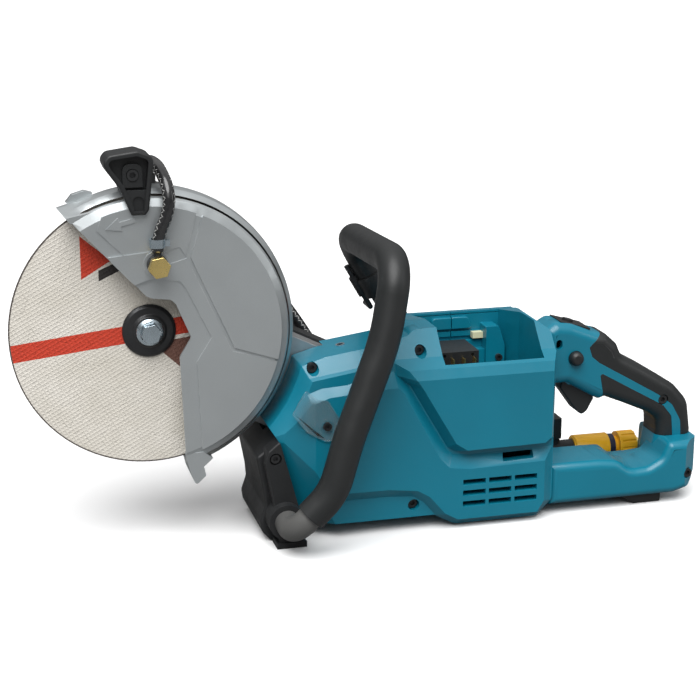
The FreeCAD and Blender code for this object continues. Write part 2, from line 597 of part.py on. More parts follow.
def make_body_fittings(parts):
    holder = block(BAY_FRONT + 0.5, 294, 0, 40, BAY_FLOOR + 0.1, -41)
    wells = [rod(x, -44.5, -1, 3, 1.6) for x in (262, 288)]
    blades = [block(x, x + 1.2, -7, 3, -108, -46) for x in (258, 268, 278, 288)]
    parts["terminal_block"] = holder.cut(wells + blades)
    parts["battery_contacts"] = Part.makeCompound(blades)
    parts["battery_latch_tab"] = block(305, 315, BAY_WALL - 9, BAY_WALL - 2.6, -43.5, -38)
    parts["controller"] = soft_slab([(268, -182), (332, -182), (332, -150), (268, -150)], -25, 30, 2)
    make_window(parts)
    insert = bar(at(168, 2, -33), Vector(-0.17, 0, 1), 6.5, 4.2)
    parts["lifting_insert"] = insert.cut(bar(at(168, 2, -33), Vector(-0.17, 0, 1), 9, 2.5))
    parts["body_shell_near"] = parts["body_shell_near"].cut(insert)


def make_window(parts):
    """Clear cover over the motor's brush-side window, with a raised rim and a cross rib."""
    lens = [(113, -72, 2), (125, -51, 2), (136, -61, 3), (144, -62, 3), (154, -79, 2), (152, -85, 3),
            (147, -97, 3), (142, -98, 2), (125, -88, 2)]
    base = BODY_NEAR - 0.1
    glass = slab(lens, base - 1.5, base)
    rim = slab(lens, base - 2.6, base - 1.5).cut(slab(inset(lens, 1.4), -60, -30))
    ribs = [slab([(128, -58), (130.5, -57), (137, -91), (134.5, -91.5)], base - 2.4, base - 1.5),
            ring(143, -84, base - 2.6, base - 1.5, 6.2, 4.6)]
    parts["window_cover"] = glass.fuse([rim] + ribs).cut(rod(143, -84, -60, -30, 3))
    parts["housing_screws"].append(socket_screw(143, -84, base - 1.5, 1.4, 3.6))


def make_bracket(parts):
    side = [(85, -113, 4), (101, -101, 2), (104, -99), (120, -160), (124, -178), (124, GROUND, 2), (97, GROUND, 4),
            (89, -181, 12), (87.5, -171, 8), (92, -158, 8), (91, -145, 10)]
    bracket = soft_slab(side, -30, 56, 2.5)
    bracket = bracket.cut(arm_shape(44, 46, ARM_NEAR - 1, 90))
    lug = soft_slab([(93, -105, 4), (104, -96, 2), (108, -114), (124, -162), (112, -170), (98, -158, 4), (90, -115, 4)],
                    -41, -24, 1.5)
    boss = rod(*HANDLE_SEAT, -50, -26, 15.5)
    foot = block(98, 124, -50, 56, GROUND, GROUND + 5)
    web = slab([(100, -176), (118, -172), (122, GROUND + 1), (101, GROUND + 1)], -48, -28)
    for piece in (lug, boss, foot, web):
        bracket = bracket.fuse(piece)
    bracket = bracket.cut(rod(*HANDLE_SEAT, -60, -32, TUBE_R))
    screw = socket_screw(99.5, -112, -36, 12, 4.0)
    bracket = bracket.cut([rod(99.5, -112, -60, -36, 5.4), screw]).cut(body_blank_front())
    parts["front_bracket"] = without_slivers(bracket)
    parts["housing_screws"].append(screw)


def body_blank_front():
    """The body's front face as the bracket meets it."""
    return slab([(97, -88), (104, -99), (120, -160), (126, -177), (160, -177), (160, -60)], -60, 80)


# ---- front loop handle ----
def front_handle_points():
    x, z = HANDLE_SEAT
    return [at(x, -33, z), at(x, -76, z), at(140, -80, -131), at(153, -79, -87), at(187, -71, -4),
            at(199, -63, 58), at(198, 92, 51), at(232, 91, -8), at(258, 84.5, -56)]


def make_front_handle(parts):
    points = front_handle_points()
    radii = [18, 90, 200, 200, 27, 27, 120]
    path = route(points, radii)
    tube = pipe(path, TUBE_R)
    parts["front_handle_tube"] = tube.cut(pipe(path, TUBE_R - 2))
    grip_start = points[1] + (points[2] - points[1]) * 0.42
    grip_end = points[6] + (points[7] - points[6]) * 0.8
    grip_path = route([grip_start] + points[2:7] + [grip_end], radii[1:6])
    parts["front_handle_grip"] = pipe(grip_path, GRIP_R).cut(tube)
    lug = slab([(246, -44, 6), (268, -44, 8), (276, -78, 8), (252, -84, 8)], BAY_FAR, 92)
    parts["handle_mount"] = lug.cut(tube)
    for x, z in ((266, -71), (255, -77)):
        parts["housing_screws"].append(rod(x, z, 92, 97, 5).cut(hexagon(x, z, 94, 98, 5)))
    make_wrench_clip(parts, points)


def make_wrench_clip(parts, points):
    """Clip on the far leg that holds the disc wrench along the grip."""
    along = points[7] - points[6]
    along.normalize()
    start = points[6] + along * 41
    offset = Vector(-GRIP_R - 2.6, 0, -4)
    shaft = bar(start + offset - along * 12, along, 46, 2.4)
    parts["hex_wrench"] = shaft.fuse(bar(start + offset + along * 34, Vector(0, 1, 0), 18, 2.4))
    band = bar(start, along, 20, GRIP_R + 2.4).fuse(bar(start + offset, along, 20, 4.2))
    parts["wrench_clip"] = band.cut([bar(start - along, along, 26, GRIP_R), parts["hex_wrench"],
                                     parts["front_handle_grip"]])


# ---- rear handle frame ----
HANDLE_LOOP = [(353, -24, 6), (363, -18, 8), (378, -20, 20), (400, -29, 20), (412, -32, 8), (423, -42, 8),
               (428, -53, 10), (453, -67), (482, -85, 18), (496, -101, 20), (500, -128), (500, -150),
               (353, -150)]
HANDLE_HOLE = [(352, -76), (375, -75, 8), (403, -91), (407, -93, 3), (413, -91, 4), (430, -98, 30), (455, -109, 16),
               (465, -116, 8), (466, -128), (462, -150), (352, -150)]
BEAM = [(352, -143), (400, -143, 20), (418, -145, 20), (431, -155, 16), (448, -154, 14), (461, -147, 14),
        (468, -132, 6), (500, -132), (500, -160, 18), (492, -176, 18), (474, -181, 8), (352, -181)]


def handle_blank():
    loop = slab(HANDLE_LOOP, HANDLE_NEAR, HANDLE_FAR).cut(slab(HANDLE_HOLE, HANDLE_NEAR - 1, HANDLE_FAR + 1))
    loop = loop.makeFillet(HANDLE_EDGE, side_edges(loop, HANDLE_NEAR, HANDLE_FAR))
    beam = soft_slab(BEAM, BEAM_NEAR, BEAM_FAR, 7)
    corner = plan([(468, -60), (520, -60), (520, 70), (468, 70), (468, BEAM_FAR), (484, BEAM_FAR), (500, 24, 8),
                   (500, -20, 8), (484, BEAM_NEAR), (468, BEAM_NEAR)], -200, -120)
    slope = [(8, -141), (BEAM_FAR + 1, -156), (BEAM_FAR + 1, -120), (8, -120)]
    lowered = section(slope, 353, 452).fuse(section([(y, z - 8) for y, z in slope], 425, 470))
    beam = beam.cut([corner, lowered])
    return loop.fuse(beam)


RUBBER_TOP = [(394, -42, 2), (407, -30), (412, -10), (540, -40), (540, -132), (488, -132), (487, -118, 10),
              (478, -102, 10), (463, -91, 6), (404, -57, 4), (397, -51, 2)]
RUBBER_LOW = [(405, -66, 2), (469, -102, 8), (478, -113, 8), (480, -132), (452, -132), (440, -125), (411, -108),
              (409, -86)]


def make_rear_handle(parts):
    blank = handle_blank()
    core = slab(inset(HANDLE_LOOP, RUBBER_T), HANDLE_NEAR + RUBBER_T, HANDLE_FAR - RUBBER_T)
    core = core.cut(slab(inset(HANDLE_HOLE, -RUBBER_T), -60, 60))
    for name, area in (("grip_rubber_top", RUBBER_TOP), ("grip_rubber_low", RUBBER_LOW)):
        rubber = blank.common(slab(area, -60, 60)).cut(core)
        parts[name] = rubber.cut(rod(469, -97, -40, -8, 5.0))
        blank = blank.cut(rubber)
    rooms = [slab([(360, -32), (395, -37), (420, -58), (452, -76), (478, -98), (486, -128), (474, -128), (466, -108),
                   (452, -100), (412, -84), (403, -86), (372, -70), (360, -70)], HANDLE_NEAR + 6, HANDLE_FAR - 6),
             block(358, 470, BEAM_NEAR + 4, BEAM_FAR - 4, -177, -160)]
    slot = slab([(366, -68), (412, -68), (412, -100), (366, -90)], MID_Y - 9.6, MID_Y + 9.6)
    button_hole = rod(381, -51, -40, -4, 6.9)
    screw_hole = rod(488, -163, -60, -28, 5.2)
    strap_hole = slab([(362, -33, 3), (368, -33, 3), (368, -42, 3), (362, -42, 3)], -40, -4)
    blank = blank.cut(rooms + [slot, button_hole, screw_hole, strap_hole, rod(469, -97, -40, -8, 5.0)])
    panel_seat = slab([(369, -10), (396, -16), (396, -31), (369, -23.5)], MID_Y - 12, MID_Y + 12)
    pin = rod(*TRIGGER_PIVOT, MID_Y - 12, MID_Y + 12, 2.0)
    pin_bosses = [ring(*TRIGGER_PIVOT, MID_Y - 14, MID_Y - 9.6, 5, 2.0), ring(*TRIGGER_PIVOT, MID_Y + 9.6,
                                                                            MID_Y + 14, 5, 2.0)]
    make_handle_controls(parts)
    blank = blank.fuse(pin_bosses).cut([panel_seat, pin, parts["control_panel"]])
    screws = [socket_screw(469, -97, -8, 26), socket_screw(488, -163, -28, 40)]
    blank = blank.fuse([rod(469, -97, -8, 22, 5), rod(488, -163, -28, 20, 5.5)]).cut(screws)
    half = Part.makeBox(900, 300, 600, Vector(-450, MID_Y - 300, -50))
    parts["rear_handle_near"] = without_slivers(blank.common(half))
    parts["rear_handle_far"] = without_slivers(blank.cut(half))
    parts["housing_screws"] += screws
    parts["trigger_pin"] = pin


def make_handle_controls(parts):
    x, z = TRIGGER_PIVOT
    width = 9.0
    lever = [(374, -67, 3), (384, -67, 3), (392, -76), (403, -84, 2), (405, -94, 3), (399, -105, 3), (394, -109, 4),
             (388, -104, 3), (372, -82, 4)]
    trigger = soft_slab(lever, MID_Y - width, MID_Y + width, 1.6)
    parts["trigger"] = trigger.cut(rod(x, z, -40, 60, 2.05))
    parts["trigger_spring"] = Part.makeCompound([ring(392, -60, MID_Y - 3 + 2 * i, MID_Y - 1.6 + 2 * i, 4, 2.4)
                                                 for i in range(3)])
    parts["switch_module"] = soft_slab([(399, -48), (424, -62), (444, -74), (440, -86), (415, -74), (399, -64)],
                                       MID_Y - 9, MID_Y + 9, 1.5)
    parts["lock_off_button"] = turned([(0, -20), (4, -20), (6.5, -17), (6.5, -5), (0, -5)], 381, -51)
    rim = slab([(368, -17.6), (397, -25.8), (397, -28.0), (368, -20.0)], MID_Y - 13, MID_Y + 13)
    lower = slab([(369.1, -20), (395.9, -27), (395.9, -31), (369.1, -23.5)], MID_Y - 11.9, MID_Y + 11.9)
    plate = lower.fuse(rim)
    normal = Vector(0.26, 0, 0.965)
    centre = at(379, MID_Y, -25)
    plate = plate.cut(bar(centre, normal, 20, 5.0 + FIT))
    parts["control_panel"] = plate
    parts["power_button"] = bar(centre + normal * 2.2, normal, 3.8, 5.0)


def make_beam_fittings(parts):
    foot = [(422, -181), (464, -181), (464, GROUND, 2), (438, GROUND, 2)]
    parts["rear_foot"] = slab(foot, -27, 36)


# ---- water supply ----
def make_water_supply(parts):
    y, z = COUPLER_Y, COUPLER_Z
    along = Vector(1, 0, 0)
    body = bar(at(358, y, z), along, 50, 9)
    stem = bar(at(389, y, z), Vector(0, 0, 1), 14, 6)
    saddle = block(366, 400, BEAM_FAR, y - 7, z - 6, z + 4)
    parts["water_valve"] = body.fuse([stem, saddle])
    knob = plan([(384.5, y - 10, 2), (393.5, y - 10, 2), (393.5, y + 10, 2), (384.5, y + 10, 2)], z + 14 + FIT, z + 34)
    parts["water_valve_knob"] = knob.fuse(bar(at(389, y, z + 14 + FIT), Vector(0, 0, 1), 5, 7.5))
    shell = bar(at(409, y, z), along, 34, 12.6).fuse(bar(at(408, y, z), along, 4, 11))
    nose = bar(at(443, y, z), along, 28, 8.2)
    parts["coupler_body"] = shell.fuse(nose)
    parts["coupler_seal_ring"] = bar(at(443, y, z), along, 6, 11).cut(bar(at(442, y, z), along, 8, 8.2))
    collar = bar(at(453.3, y, z), along, 17, 13)
    flutes = []
    for i in range(12):
        turn = math.radians(30 * i)
        flutes.append(bar(at(456, y + 13.4 * math.cos(turn), z + 13.4 * math.sin(turn)), along, 16, 1.3))
    parts["coupler_collar"] = collar.cut([bar(at(452, y, z), along, 20, 8.2 + FIT)] + flutes)
    tip = bar(at(471, y, z), along, 4, 6).fuse(bar(at(475, y, z), along, NIPPLE_LENGTH, NIPPLE_R))
    parts["water_inlet_nipple"] = tip.cut(bar(at(471, y, z), along, 20, 2.4))
    supply = [at(8, 39.1, 112), at(8, 58, 112), at(32, 68, 102), at(70, 71, 76), at(102, 71.5, 40),
              at(126, 71.5, 6), at(148, 71.5, -26), at(167, 71.5, -58), at(180, 71.5, -92), at(199, 71.5, -128),
              at(232, 71.5, -152), at(276, 71.5, -161), at(314, 71.5, -163), at(338, 62, -161), at(358, y, z)]
    parts["supply_hose"] = hose("supply hose", supply).cut(parts["water_valve"])
    clips = []
    for x, z_clip in ((180, -92), (282, -161)):
        clip = block(x - 4, x + 4, BODY_FAR, 78, z_clip - 8, z_clip + 8)
        clips.append(clip.cut(parts["supply_hose"]))
    parts["hose_clips"] = Part.makeCompound(clips)
    lock = turned([(0, COVER_FAR + 9), (7, COVER_FAR + 9), (8, COVER_FAR + 8), (8, COVER_FAR + 6), (3, COVER_FAR + 6),
                   (3, COVER_FAR - 3.6), (0, COVER_FAR - 3.6)], 0, LOCK_R)
    parts["spindle_lock_button"] = lock


def main():
    parts = {}
    make_disc_group(parts)
    make_bearings(parts)
    make_drive(parts)
    make_guard(parts)
    make_water_fittings(parts)
    make_body(parts)
    make_body_fittings(parts)
    make_bracket(parts)
    make_front_handle(parts)
    make_rear_handle(parts)
    make_beam_fittings(parts)
    make_water_supply(parts)
    parts["housing_screws"] = Part.makeCompound(parts["housing_screws"])
    os.makedirs("parts", exist_ok=True)
    for name, shape in parts.items():
        centred = shape.translated(FreeCAD.Vector(0, -WIDTH_MIDDLE, 0))
        centred.exportStep("parts/%s.step" % name)
    print(len(parts), "sub-parts")


main()
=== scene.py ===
import json
import math

import bpy
import bmesh
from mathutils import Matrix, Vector


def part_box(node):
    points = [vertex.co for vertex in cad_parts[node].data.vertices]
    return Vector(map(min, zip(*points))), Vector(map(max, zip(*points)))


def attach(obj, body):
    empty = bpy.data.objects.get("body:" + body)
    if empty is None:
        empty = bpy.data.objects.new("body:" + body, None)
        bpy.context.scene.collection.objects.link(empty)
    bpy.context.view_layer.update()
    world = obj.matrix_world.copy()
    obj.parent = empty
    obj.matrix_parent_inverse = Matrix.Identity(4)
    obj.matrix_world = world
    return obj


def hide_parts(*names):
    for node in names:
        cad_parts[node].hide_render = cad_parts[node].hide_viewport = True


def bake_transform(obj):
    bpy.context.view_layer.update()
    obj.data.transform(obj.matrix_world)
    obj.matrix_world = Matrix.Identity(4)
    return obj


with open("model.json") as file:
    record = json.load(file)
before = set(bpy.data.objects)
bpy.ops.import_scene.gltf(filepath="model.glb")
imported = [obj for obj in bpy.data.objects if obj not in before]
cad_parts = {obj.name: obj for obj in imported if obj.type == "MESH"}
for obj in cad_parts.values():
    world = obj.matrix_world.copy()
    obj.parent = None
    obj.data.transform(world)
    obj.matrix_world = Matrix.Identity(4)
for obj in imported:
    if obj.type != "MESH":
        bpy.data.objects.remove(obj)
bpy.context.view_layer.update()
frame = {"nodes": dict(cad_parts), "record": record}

# Looks of the rescue saw.  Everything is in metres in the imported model's frame: +X to the rear,
# +Y away from the disc, +Z up.  Hose routes are given in millimetres, x and z from the spindle.

MM = 0.001
NODES = frame["nodes"]
DISC_LOW, DISC_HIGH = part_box("cutting_disc")
SPINDLE_LOW, SPINDLE_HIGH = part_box("spindle")
SPINDLE = Vector(((SPINDLE_LOW.x + SPINDLE_HIGH.x) / 2, (DISC_LOW.y + DISC_HIGH.y) / 2,
                  (DISC_LOW.z + DISC_HIGH.z) / 2))
DISC_Y = -8.0             # the disc's middle on the y scale that the routes below are given in
HOSE_R = 5.2 * MM
CAMERA_FROM_SPINDLE = Vector((-0.18087, -1.32268, 0.35072))
CAMERA_TURN, CAMERA_LIFT = math.radians(14.99), math.radians(15.53)
CAMERA_LENS = 84.7
FLOOR_REACH = 60.0


def at(x, y, z):
    """Point given in millimetres: x and z from the spindle, y on the scale that has the disc at DISC_Y."""
    return Vector((SPINDLE.x + x * MM, SPINDLE.y + (y - DISC_Y) * MM, SPINDLE.z + z * MM))


# ---- material helpers ----
class Surface:
    """A Principled material with short calls for the nodes that vary it."""

    def __init__(self, name, rough=0.5, metal=0.0, **sockets):
        self.mat = bpy.data.materials.new(name)
        self.mat.use_nodes = True
        self.tree = self.mat.node_tree
        self.shader = self.tree.nodes["Principled BSDF"]
        self.shader.inputs["Roughness"].default_value = rough
        self.shader.inputs["Metallic"].default_value = metal
        for socket, value in sockets.items():
            self.shader.inputs[socket.replace("_", " ")].default_value = value
        self.coords = self.tree.nodes.new("ShaderNodeTexCoord").outputs["Object"]

    def node(self, kind, **settings):
        made = self.tree.nodes.new(kind)
        for key, value in settings.items():
            setattr(made, key, value)
        return made

    def feed(self, socket, value):
        if isinstance(value, bpy.types.NodeSocket):
            self.tree.links.new(value, socket)
        else:
            socket.default_value = value

    def math(self, operation, a, b=0.0, c=0.0):
        made = self.node("ShaderNodeMath", operation=operation)
        for socket, value in zip(made.inputs, (a, b, c)):
            self.feed(socket, value)
        return made.outputs[0]

    def noise(self, scale, detail=2.0, rough=0.5, stretch=None):
        source = self.coords
        if stretch:
            mapping = self.node("ShaderNodeMapping")
            mapping.inputs["Scale"].default_value = stretch
            self.feed(mapping.inputs["Vector"], source)
            source = mapping.outputs[0]
        made = self.node("ShaderNodeTexNoise")
        made.inputs["Scale"].default_value = scale
        made.inputs["Detail"].default_value = detail
        made.inputs["Roughness"].default_value = rough
        self.feed(made.inputs["Vector"], source)
        return made.outputs["Fac"]

    def span(self, value, low, high, out_low=0.0, out_high=1.0):
        made = self.node("ShaderNodeMapRange")
        for socket, number in zip(made.inputs[1:5], (low, high, out_low, out_high)):
            socket.default_value = number
        self.feed(made.inputs[0], value)
        return made.outputs[0]

    def blend(self, factor, a, b):
        made = self.node("ShaderNodeMix", data_type="RGBA")
        self.feed(made.inputs[0], factor)
        for socket, value in ((made.inputs[6], a), (made.inputs[7], b)):
            self.feed(socket, (*value, 1.0) if isinstance(value, tuple) and len(value) == 3 else value)
        return made.outputs[2]

    def colour(self, value):
        self.feed(self.shader.inputs["Base Color"], value)

    def roughness(self, value):
        self.feed(self.shader.inputs["Roughness"], value)

    def bump(self, height, strength, distance):
        made = self.node("ShaderNodeBump")
        made.inputs["Strength"].default_value = strength
        made.inputs["Distance"].default_value = distance
        self.feed(made.inputs["Height"], height)
        shader_normal = self.shader.inputs["Normal"]
        if shader_normal.is_linked:
            self.feed(made.inputs["Normal"], shader_normal.links[0].from_socket)
        self.feed(shader_normal, made.outputs[0])

    def edge_mask(self, radius, sharpness=6.0):
        """1 on outer edges, 0 on flats; marks worn edges, and the painted white edge highlight of the clear
        plastic.
        """
        bevel = self.node("ShaderNodeBevel", samples=3)
        bevel.inputs["Radius"].default_value = radius
        flat = self.node("ShaderNodeNewGeometry").outputs["Normal"]
        dot = self.node("ShaderNodeVectorMath", operation="DOT_PRODUCT")
        self.feed(dot.inputs[0], bevel.outputs[0])
        self.feed(dot.inputs[1], flat)
        return self.math("MULTIPLY", self.math("SUBTRACT", 1.0, dot.outputs["Value"]), sharpness)


def shade(colour, factor):
    return tuple(min(1.0, channel * factor) for channel in colour)


def moulded(name, colour, rough, grain=2600.0, grain_depth=0.00003, variation=0.08, wear=0.0, **sockets):
    """Moulded plastic or rubber: fine spark-eroded grain, faint colour drift, scuffed roughness."""
    s = Surface(name, rough, **sockets)
    drift = s.noise(9.0, 3.0)
    base = s.blend(s.span(drift, 0.3, 0.7), shade(colour, 1 - variation), shade(colour, 1 + variation))
    scuffs = s.noise(55.0, 5.0, 0.7)
    if wear:
        edge = s.math("MULTIPLY", s.edge_mask(0.0009), s.span(scuffs, 0.45, 0.62, 0.0, wear))
        base = s.blend(edge, base, shade(colour, 1.9))
    s.colour(base)
    s.roughness(s.span(scuffs, 0.3, 0.7, rough - 0.06, rough + 0.08))
    s.bump(s.noise(grain, 1.0), 0.5, grain_depth)
    return s


def metal(name, colour, rough, brush=(1.0, 1.0, 1.0), brush_scale=900.0, depth=0.00002, metallic=1.0):
    """Machined or plated metal with fine directional marks."""
    s = Surface(name, rough, metallic)
    marks = s.noise(brush_scale, 3.0, 0.6, brush)
    s.colour(s.blend(s.span(s.noise(40.0, 3.0), 0.3, 0.7), shade(colour, 0.86), shade(colour, 1.1)))
    s.roughness(s.span(marks, 0.25, 0.75, rough - 0.08, rough + 0.12))
    s.bump(marks, 0.4, depth)
    return s


def guard_paint():
    """Satin silver-grey powder coat over the die casting."""
    colour = (0.47, 0.50, 0.51)
    s = Surface("guard_grey", 0.36, 0.7)
    drift = s.noise(14.0, 3.0)
    flake = s.noise(3800.0, 1.0)
    base = s.blend(s.span(drift, 0.3, 0.7), shade(colour, 0.95), shade(colour, 1.05))
    base = s.blend(s.span(flake, 0.35, 0.75, 0.0, 0.35), base, shade(colour, 1.3))
    edge = s.math("MULTIPLY", s.edge_mask(0.0007), s.span(s.noise(70.0, 4.0), 0.5, 0.62, 0.0, 0.6))
    s.colour(s.blend(edge, base, (0.75, 0.76, 0.77)))
    s.roughness(s.span(s.noise(60.0, 4.0), 0.3, 0.7, 0.32, 0.42))
    s.bump(flake, 0.35, 0.00003)
    s.bump(s.noise(260.0, 2.0), 0.15, 0.00012)
    return s


def disc_abrasive():
    """Bonded cutting disc: fibreglass weave, cream paper label with plain coloured areas."""
    s = Surface("disc_abrasive", 0.72)
    place = s.node("ShaderNodeSeparateXYZ")
    shifted = s.node("ShaderNodeVectorMath", operation="SUBTRACT")
    s.feed(shifted.inputs[0], s.coords)
    shifted.inputs[1].default_value = SPINDLE
    s.feed(place.inputs[0], shifted.outputs[0])
    x, y, z = place.outputs[0], place.outputs[1], place.outputs[2]
    fuzz = s.math("MULTIPLY", s.math("SUBTRACT", s.noise(900.0, 2.0), 0.5), 0.0009)
    z_rough = s.math("ADD", z, fuzz)

    def below_line(x0, z0, x1, z1):
        """1 where the point is under the line through two points given in millimetres."""
        slope = (z1 - z0) / (x1 - x0)
        line = s.math("MULTIPLY_ADD", x, slope, (z0 - slope * x0) * MM)
        return s.math("LESS_THAN", z_rough, line)

    def all_of(*masks):
        joined = masks[0]
        for mask in masks[1:]:
            joined = s.math("MULTIPLY", joined, mask)
        return joined

    def over(*line):
        return s.math("SUBTRACT", 1.0, below_line(*line))

    cream = s.blend(s.span(s.noise(26.0, 4.0), 0.3, 0.7), (0.68, 0.64, 0.56), (0.80, 0.76, 0.69))
    speck = s.span(s.noise(1500.0, 3.0, 0.7), 0.58, 0.72, 0.0, 0.45)
    base = s.blend(speck, cream, (0.34, 0.31, 0.27))
    band = all_of(below_line(-90, -3.1, 30, 10.4), over(-90, -18.1, 32, -4.4))
    red = s.blend(s.span(s.noise(700.0, 3.0, 0.7), 0.4, 0.7), (0.66, 0.055, 0.022), (0.50, 0.045, 0.022))
    base = s.blend(band, base, red)
    wedge = all_of(below_line(-58, 86, -10, 44), over(-50, 48.5, -29, 61.0),
                   s.math("GREATER_THAN", x, -0.054))
    base = s.blend(wedge, base, red)
    strip = all_of(below_line(-40, 53, -20, 61), over(-39, 44.3, -18, 54.0),
                   s.math("GREATER_THAN", x, -0.0398))
    base = s.blend(strip, base, (0.035, 0.03, 0.028))
    patch = all_of(below_line(10, -10.5, 34, -7.6), over(8, -17.0, 26, -34.0),
                   s.math("GREATER_THAN", x, 0.008))
    base = s.blend(patch, base, (0.16, 0.075, 0.055))
    radius = s.math("SQRT", s.math("ADD", s.math("MULTIPLY", x, x), s.math("MULTIPLY", z, z)))
    rim = s.math("GREATER_THAN", radius, (DISC_HIGH.z - SPINDLE.z) - 0.0012)
    base = s.blend(rim, base, (0.10, 0.085, 0.075))
    far_side = s.math("GREATER_THAN", y, 0.0005)
    s.colour(s.blend(far_side, base, (0.07, 0.065, 0.06)))
    turned = s.node("ShaderNodeMapping")
    turned.inputs["Rotation"].default_value = (0.0, math.radians(28), 0.0)
    s.feed(turned.inputs["Vector"], s.coords)
    weave = s.node("ShaderNodeSeparateXYZ")
    s.feed(weave.inputs[0], turned.outputs[0])
    threads = []
    for axis in (weave.outputs[0], weave.outputs[2]):
        wobble = s.math("MULTIPLY", s.noise(45.0, 2.0), 1.7)
        wave = s.math("SINE", s.math("MULTIPLY_ADD", axis, 2 * math.pi / 0.0031, wobble))
        threads.append(s.math("MAXIMUM", wave, 0.0))
    net = s.math("MAXIMUM", threads[0], threads[1])
    s.bump(net, 0.55, 0.0005)
    creases = s.math("ABSOLUTE", s.math("SUBTRACT", s.noise(95.0, 3.0, 0.6, (1.0, 1.0, 0.55)), 0.5))
    s.bump(s.span(creases, 0.0, 0.05), 0.45, 0.0004)
    s.bump(s.noise(1500.0, 4.0, 0.7), 0.7, 0.00025)
    return s


def clear_plastic():
    """Clear moulding that catches white light along its edges."""
    s = Surface("clear_plastic", 0.06, Transmission_Weight=0.95, IOR=1.3)
    clear = s.blend(s.span(s.noise(60.0), 0.3, 0.7), (0.82, 0.95, 0.97), (0.93, 0.98, 0.98))
    # painted highlight: the outer edges are painted white where light catches them
    s.colour(s.blend(s.math("MINIMUM", s.edge_mask(0.0011, 5.0), 1.0), clear, (1.0, 1.0, 1.0)))
    s.bump(s.noise(500.0, 2.0), 0.1, 0.00005)
    return s


def hose_braid():
    """Black hose with two rows of pale braid stitches seen through its skin; reads the tube's own UV."""
    s = Surface("hose_braid", 0.22, Coat_Weight=0.5)
    uv = s.node("ShaderNodeSeparateXYZ")
    s.feed(uv.inputs[0], s.node("ShaderNodeTexCoord").outputs["UV"])
    along, round_it = uv.outputs[0], uv.outputs[1]
    pitch = 0.0052
    phase = s.math("FRACT", s.math("DIVIDE", along, pitch))
    zigzag = s.math("ABSOLUTE", s.math("SUBTRACT", phase, 0.5))
    lane = s.math("FRACT", s.math("MULTIPLY_ADD", round_it, 3.0, s.math("MULTIPLY", zigzag, 0.55)))
    near_lane = s.math("LESS_THAN", s.math("ABSOLUTE", s.math("SUBTRACT", lane, 0.5)), 0.055)
    dash = s.math("LESS_THAN", s.math("FRACT", s.math("DIVIDE", along, pitch * 0.5)), 0.72)
    stitch = s.math("MULTIPLY", near_lane, dash)
    black = s.blend(s.noise(300.0, 2.0), (0.010, 0.010, 0.011), (0.022, 0.022, 0.023))
    s.colour(s.blend(stitch, black, (0.42, 0.42, 0.41)))
    s.roughness(s.span(s.noise(150.0, 3.0), 0.3, 0.7, 0.18, 0.32))
    s.bump(s.noise(900.0, 2.0), 0.3, 0.00006)
    return s


TEAL = (0.002, 0.175, 0.26)
BLACK = (0.014, 0.015, 0.016)


def make_materials():
    made = {
        "teal_plastic": moulded("teal_plastic", TEAL, 0.34, wear=0.25, Coat_Weight=0.12),
        "black_plastic": moulded("black_plastic", BLACK, 0.46, wear=0.35),
        "black_rubber": moulded("black_rubber", (0.015, 0.0165, 0.017), 0.44, grain=1900.0,
                                grain_depth=0.00006),
        "grey_tube": moulded("grey_tube", (0.10, 0.10, 0.097), 0.42, grain=1500.0),
        "amber_plastic": moulded("amber_plastic", (1.0, 0.50, 0.02), 0.34, wear=0.2),
        "navy_rubber": moulded("navy_rubber", (0.016, 0.018, 0.05), 0.45),
        "cream_plastic": moulded("cream_plastic", (0.74, 0.72, 0.47), 0.4),
        "black_steel": metal("black_steel", (0.045, 0.046, 0.048), 0.34, metallic=0.6),
        "zinc_steel": metal("zinc_steel", (0.55, 0.64, 0.70), 0.24, brush=(1, 6, 1), brush_scale=700.0),
        "bright_steel": metal("bright_steel", (0.56, 0.56, 0.55), 0.28),
        "motor_iron": metal("motor_iron", (0.30, 0.20, 0.14), 0.5, metallic=0.4),
        "cast_aluminium": metal("cast_aluminium", (0.52, 0.53, 0.54), 0.45, depth=0.00008),
        "brass": metal("brass", (0.92, 0.70, 0.27), 0.30, brush=(1, 5, 1)),
        "guard_grey": guard_paint(),
        "disc_abrasive": disc_abrasive(),
        "clear_plastic": clear_plastic(),
        "hose_braid": hose_braid(),
    }
    return {key: value.mat for key, value in made.items()}


MATERIALS = make_materials()


def dress(obj, name):
    """Gives a whole object one material, looked up by its slot name."""
    obj.data.materials.clear()
    obj.data.materials.append(MATERIALS[name])


def dress_frame():
    """Every CAD node takes the material of its slot in the record."""
    for part in frame["record"]["subparts"]:
        obj = NODES[part["node"]]
        obj.data.materials.clear()
        obj.data.materials.append(MATERIALS[part["material_slot"]])


SOFT_EDGES = {
    "body_shell_near": 1.2, "body_shell_far": 1.2, "rear_handle_near": 0.8, "rear_handle_far": 0.8,
    "guard_shell_near": 0.8, "guard_shell_far": 0.6, "front_bracket": 1.4, "guard_lever": 0.9,
    "trigger": 0.6, "control_panel": 0.4, "lock_off_button": 1.2, "water_valve_knob": 1.0, "rear_foot": 1.0,
    "coupler_body": 0.8, "coupler_collar": 0.8, "outer_flange": 0.6, "disc_bolt": 0.5, "banjo_bolts": 0.6,
    "banjo_fittings": 0.5, "belt_cover": 1.6, "drive_arm": 0.8, "handle_mount": 1.2, "wrench_clip": 0.8,
    "terminal_block": 0.6, "window_cover": 0.3, "hose_clips": 0.8, "grip_rubber_top": 0.6,
    "grip_rubber_low": 0.6,
}


